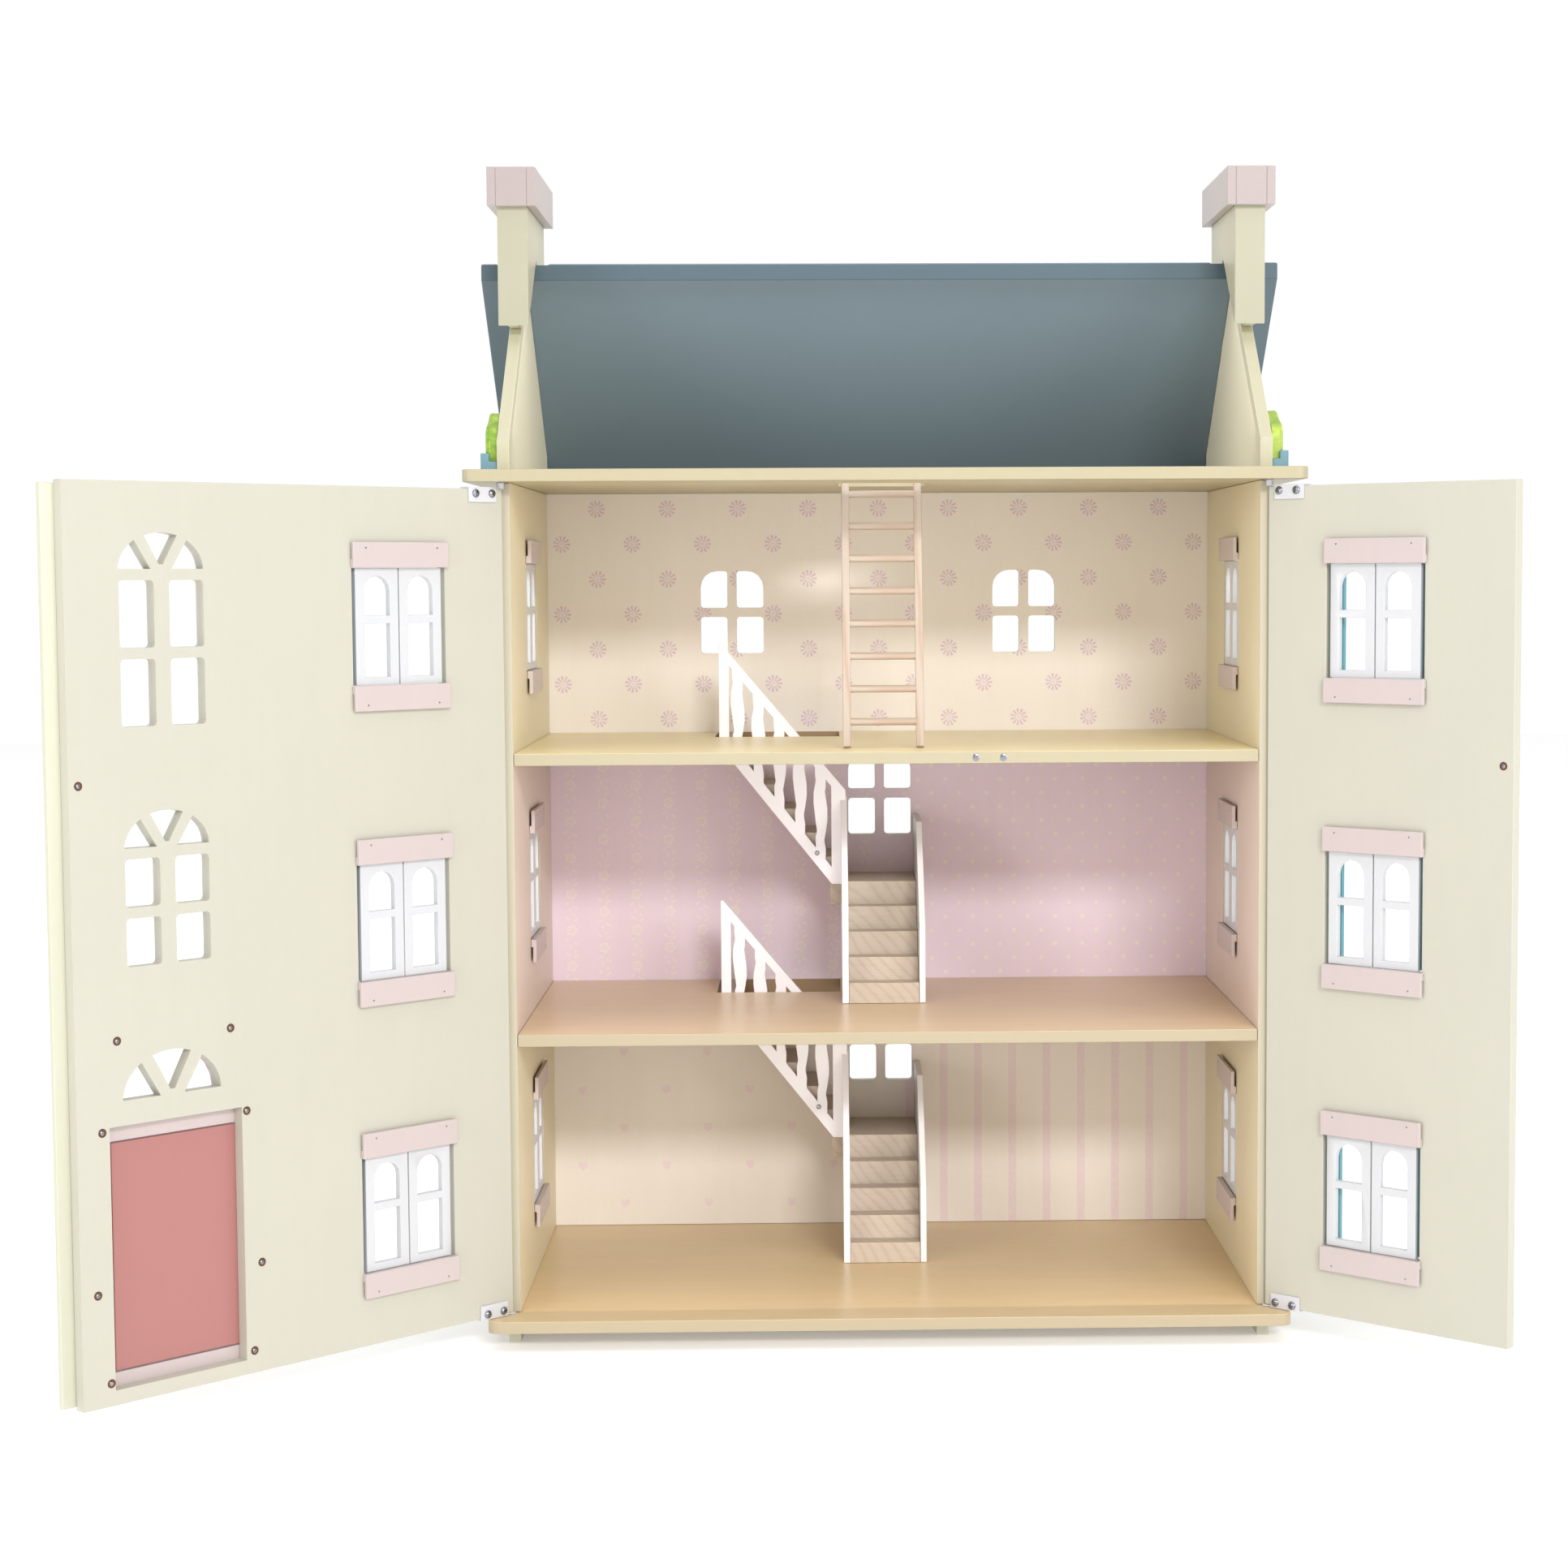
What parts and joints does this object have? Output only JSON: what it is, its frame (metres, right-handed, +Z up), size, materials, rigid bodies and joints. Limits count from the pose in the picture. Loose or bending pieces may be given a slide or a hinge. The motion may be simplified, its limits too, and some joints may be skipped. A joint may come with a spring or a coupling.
{
  "type": "dollhouse",
  "caption": "Open-fronted wooden dollhouse with three storeys and an attic, hinged front panels with casement windows, a lifting roof flap, stairs and a loose attic ladder.",
  "frame": {"origin": "centre of the base board's underside, midway between the side walls and midway in the carcass depth", "axes": "+X to the right seen from the open front, +Y from the open front towards the back wall, +Z up"},
  "size_m": [0.9937, 0.5944, 0.877],
  "materials": {
    "cream_paint": "satin paint on board",
    "deck_cream_paint": "satin paint on board",
    "floor_tan": "printed wood effect",
    "slate_blue_paint": "matt paint on board",
    "pale_pink_paint": "satin paint on board",
    "dusty_pink_paint": "satin paint on board",
    "white_paint": "satin paint on board",
    "hinge_white": "white enamel",
    "bare_pine": "bare",
    "bare_beech": "bare",
    "planter_blue_paint": "satin paint on board"
  },
  "bodies": {
    "carcass": {"base_board": "deck_cream_paint", "left_foot_runner": "deck_cream_paint", "right_foot_runner": "deck_cream_paint", "top_board": "deck_cream_paint", "left_side_wall": "cream_paint", "right_side_wall": "cream_paint", "back_wall": "cream_paint", "left_gable": "cream_paint", "right_gable": "cream_paint", "left_chimney_stack": "cream_paint", "right_chimney_stack": "cream_paint", "middle_floor_board": "floor_tan", "upper_floor_board": "floor_tan", "rear_roof_panel": "slate_blue_paint", "left_chimney_cap": "pale_pink_paint", "right_chimney_cap": "pale_pink_paint", "left_planter": "planter_blue_paint", "right_planter": "planter_blue_paint", "lower_stair_balustrade": "white_paint", "lower_stair_right_stringer": "white_paint", "upper_stair_balustrade": "white_paint", "upper_stair_right_stringer": "white_paint", "lower_stair_steps": "bare_pine", "upper_stair_steps": "bare_pine"},
    "left_front": {"left_front_panel": "cream_paint", "left_panel_top_hinge": "hinge_white", "left_panel_bottom_hinge": "hinge_white", "astragal_strip": "cream_paint", "porch_surround": "pale_pink_paint"},
    "right_front": {"right_front_panel": "cream_paint", "right_panel_top_hinge": "hinge_white", "right_panel_bottom_hinge": "hinge_white"},
    "door": {"front_door": "dusty_pink_paint"},
    "roof_flap": {"front_roof_flap": "slate_blue_paint"},
    "ladder": {"attic_ladder": "bare_beech"},
    "left_panel_ground_casement_a_body": {"left_panel_ground_casement_a": "white_paint"},
    "left_panel_ground_casement_b_body": {"left_panel_ground_casement_b": "white_paint"},
    "left_panel_middle_casement_a_body": {"left_panel_middle_casement_a": "white_paint"},
    "left_panel_middle_casement_b_body": {"left_panel_middle_casement_b": "white_paint"},
    "left_panel_upper_casement_a_body": {"left_panel_upper_casement_a": "white_paint"},
    "left_panel_upper_casement_b_body": {"left_panel_upper_casement_b": "white_paint"},
    "right_panel_ground_casement_a_body": {"right_panel_ground_casement_a": "white_paint"},
    "right_panel_ground_casement_b_body": {"right_panel_ground_casement_b": "white_paint"},
    "right_panel_middle_casement_a_body": {"right_panel_middle_casement_a": "white_paint"},
    "right_panel_middle_casement_b_body": {"right_panel_middle_casement_b": "white_paint"},
    "right_panel_upper_casement_a_body": {"right_panel_upper_casement_a": "white_paint"},
    "right_panel_upper_casement_b_body": {"right_panel_upper_casement_b": "white_paint"},
    "left_wall_ground_casement_a_body": {"left_wall_ground_casement_a": "white_paint"},
    "left_wall_ground_casement_b_body": {"left_wall_ground_casement_b": "white_paint"},
    "left_wall_middle_casement_a_body": {"left_wall_middle_casement_a": "white_paint"},
    "left_wall_middle_casement_b_body": {"left_wall_middle_casement_b": "white_paint"},
    "left_wall_upper_casement_a_body": {"left_wall_upper_casement_a": "white_paint"},
    "left_wall_upper_casement_b_body": {"left_wall_upper_casement_b": "white_paint"},
    "right_wall_ground_casement_a_body": {"right_wall_ground_casement_a": "white_paint"},
    "right_wall_ground_casement_b_body": {"right_wall_ground_casement_b": "white_paint"},
    "right_wall_middle_casement_a_body": {"right_wall_middle_casement_a": "white_paint"},
    "right_wall_middle_casement_b_body": {"right_wall_middle_casement_b": "white_paint"},
    "right_wall_upper_casement_a_body": {"right_wall_upper_casement_a": "white_paint"},
    "right_wall_upper_casement_b_body": {"right_wall_upper_casement_b": "white_paint"}
  },
  "joints": [
    {"name": "left_front_hinge", "type": "hinge", "parent": "carcass", "child": "left_front", "pos_m": [-0.2815, -0.153, 0.31], "axis": [0, 0, 1], "range_deg": [-2, 135.1]},
    {"name": "right_front_hinge", "type": "hinge", "parent": "carcass", "child": "right_front", "pos_m": [0.2815, -0.153, 0.31], "axis": [0, 0, 1], "range_deg": [-137.9, 2]},
    {"name": "front_door_hinge", "type": "hinge", "parent": "left_front", "child": "door", "pos_m": [-0.45413, -0.30809, 0.107], "axis": [0, 0, -1], "range_deg": [0, 90]},
    {"name": "roof_flap_hinge", "type": "hinge", "parent": "carcass", "child": "roof_flap", "pos_m": [0, 0, 0.79813], "axis": [1, 0, 0], "range_deg": [0, 262.09]},
    {"name": "ladder_lift", "type": "slide", "parent": "carcass", "child": "ladder", "axis": [0, 0.2334, 0.9724], "range_m": [0, 0.1]},
    {"name": "left_panel_ground_casement_a_hinge", "type": "hinge", "parent": "left_front", "child": "left_panel_ground_casement_a_body", "pos_m": [-0.32329, -0.19351, 0.1044], "axis": [0, 0, 1], "range_deg": [0, 90]},
    {"name": "left_panel_ground_casement_b_hinge", "type": "hinge", "parent": "left_front", "child": "left_panel_ground_casement_b_body", "pos_m": [-0.3733, -0.24335, 0.1044], "axis": [0, 0, -1], "range_deg": [0, 90]},
    {"name": "left_panel_middle_casement_a_hinge", "type": "hinge", "parent": "left_front", "child": "left_panel_middle_casement_a_body", "pos_m": [-0.32329, -0.19351, 0.3129], "axis": [0, 0, 1], "range_deg": [0, 90]},
    {"name": "left_panel_middle_casement_b_hinge", "type": "hinge", "parent": "left_front", "child": "left_panel_middle_casement_b_body", "pos_m": [-0.3733, -0.24335, 0.3129], "axis": [0, 0, -1], "range_deg": [0, 90]},
    {"name": "left_panel_upper_casement_a_hinge", "type": "hinge", "parent": "left_front", "child": "left_panel_upper_casement_a_body", "pos_m": [-0.32329, -0.19351, 0.5214], "axis": [0, 0, 1], "range_deg": [0, 90]},
    {"name": "left_panel_upper_casement_b_hinge", "type": "hinge", "parent": "left_front", "child": "left_panel_upper_casement_b_body", "pos_m": [-0.3733, -0.24335, 0.5214], "axis": [0, 0, -1], "range_deg": [0, 90]},
    {"name": "right_panel_ground_casement_a_hinge", "type": "hinge", "parent": "right_front", "child": "right_panel_ground_casement_a_body", "pos_m": [0.37538, -0.23675, 0.1044], "axis": [0, 0, 1], "range_deg": [0, 90]},
    {"name": "right_panel_ground_casement_b_hinge", "type": "hinge", "parent": "right_front", "child": "right_panel_ground_casement_b_body", "pos_m": [0.32299, -0.18941, 0.1044], "axis": [0, 0, -1], "range_deg": [0, 90]},
    {"name": "right_panel_middle_casement_a_hinge", "type": "hinge", "parent": "right_front", "child": "right_panel_middle_casement_a_body", "pos_m": [0.37538, -0.23675, 0.3129], "axis": [0, 0, 1], "range_deg": [0, 90]},
    {"name": "right_panel_middle_casement_b_hinge", "type": "hinge", "parent": "right_front", "child": "right_panel_middle_casement_b_body", "pos_m": [0.32299, -0.18941, 0.3129], "axis": [0, 0, -1], "range_deg": [0, 90]},
    {"name": "right_panel_upper_casement_a_hinge", "type": "hinge", "parent": "right_front", "child": "right_panel_upper_casement_a_body", "pos_m": [0.37538, -0.23675, 0.5214], "axis": [0, 0, 1], "range_deg": [0, 90]},
    {"name": "right_panel_upper_casement_b_hinge", "type": "hinge", "parent": "right_front", "child": "right_panel_upper_casement_b_body", "pos_m": [0.32299, -0.18941, 0.5214], "axis": [0, 0, -1], "range_deg": [0, 90]},
    {"name": "left_wall_ground_casement_a_hinge", "type": "hinge", "parent": "carcass", "child": "left_wall_ground_casement_a_body", "pos_m": [-0.2773, 0.0353, 0.1078], "axis": [0, 0, 1], "range_deg": [0, 90]},
    {"name": "left_wall_ground_casement_b_hinge", "type": "hinge", "parent": "carcass", "child": "left_wall_ground_casement_b_body", "pos_m": [-0.2773, -0.0353, 0.1078], "axis": [0, 0, -1], "range_deg": [0, 90]},
    {"name": "left_wall_middle_casement_a_hinge", "type": "hinge", "parent": "carcass", "child": "left_wall_middle_casement_a_body", "pos_m": [-0.2773, 0.0353, 0.3163], "axis": [0, 0, 1], "range_deg": [0, 90]},
    {"name": "left_wall_middle_casement_b_hinge", "type": "hinge", "parent": "carcass", "child": "left_wall_middle_casement_b_body", "pos_m": [-0.2773, -0.0353, 0.3163], "axis": [0, 0, -1], "range_deg": [0, 90]},
    {"name": "left_wall_upper_casement_a_hinge", "type": "hinge", "parent": "carcass", "child": "left_wall_upper_casement_a_body", "pos_m": [-0.2773, 0.0353, 0.5248], "axis": [0, 0, 1], "range_deg": [0, 90]},
    {"name": "left_wall_upper_casement_b_hinge", "type": "hinge", "parent": "carcass", "child": "left_wall_upper_casement_b_body", "pos_m": [-0.2773, -0.0353, 0.5248], "axis": [0, 0, -1], "range_deg": [0, 90]},
    {"name": "right_wall_ground_casement_a_hinge", "type": "hinge", "parent": "carcass", "child": "right_wall_ground_casement_a_body", "pos_m": [0.2773, -0.0353, 0.1078], "axis": [0, 0, 1], "range_deg": [0, 90]},
    {"name": "right_wall_ground_casement_b_hinge", "type": "hinge", "parent": "carcass", "child": "right_wall_ground_casement_b_body", "pos_m": [0.2773, 0.0353, 0.1078], "axis": [0, 0, -1], "range_deg": [0, 90]},
    {"name": "right_wall_middle_casement_a_hinge", "type": "hinge", "parent": "carcass", "child": "right_wall_middle_casement_a_body", "pos_m": [0.2773, -0.0353, 0.3163], "axis": [0, 0, 1], "range_deg": [0, 90]},
    {"name": "right_wall_middle_casement_b_hinge", "type": "hinge", "parent": "carcass", "child": "right_wall_middle_casement_b_body", "pos_m": [0.2773, 0.0353, 0.3163], "axis": [0, 0, -1], "range_deg": [0, 90]},
    {"name": "right_wall_upper_casement_a_hinge", "type": "hinge", "parent": "carcass", "child": "right_wall_upper_casement_a_body", "pos_m": [0.2773, -0.0353, 0.5248], "axis": [0, 0, 1], "range_deg": [0, 90]},
    {"name": "right_wall_upper_casement_b_hinge", "type": "hinge", "parent": "carcass", "child": "right_wall_upper_casement_b_body", "pos_m": [0.2773, 0.0353, 0.5248], "axis": [0, 0, -1], "range_deg": [0, 90]}
  ]
}
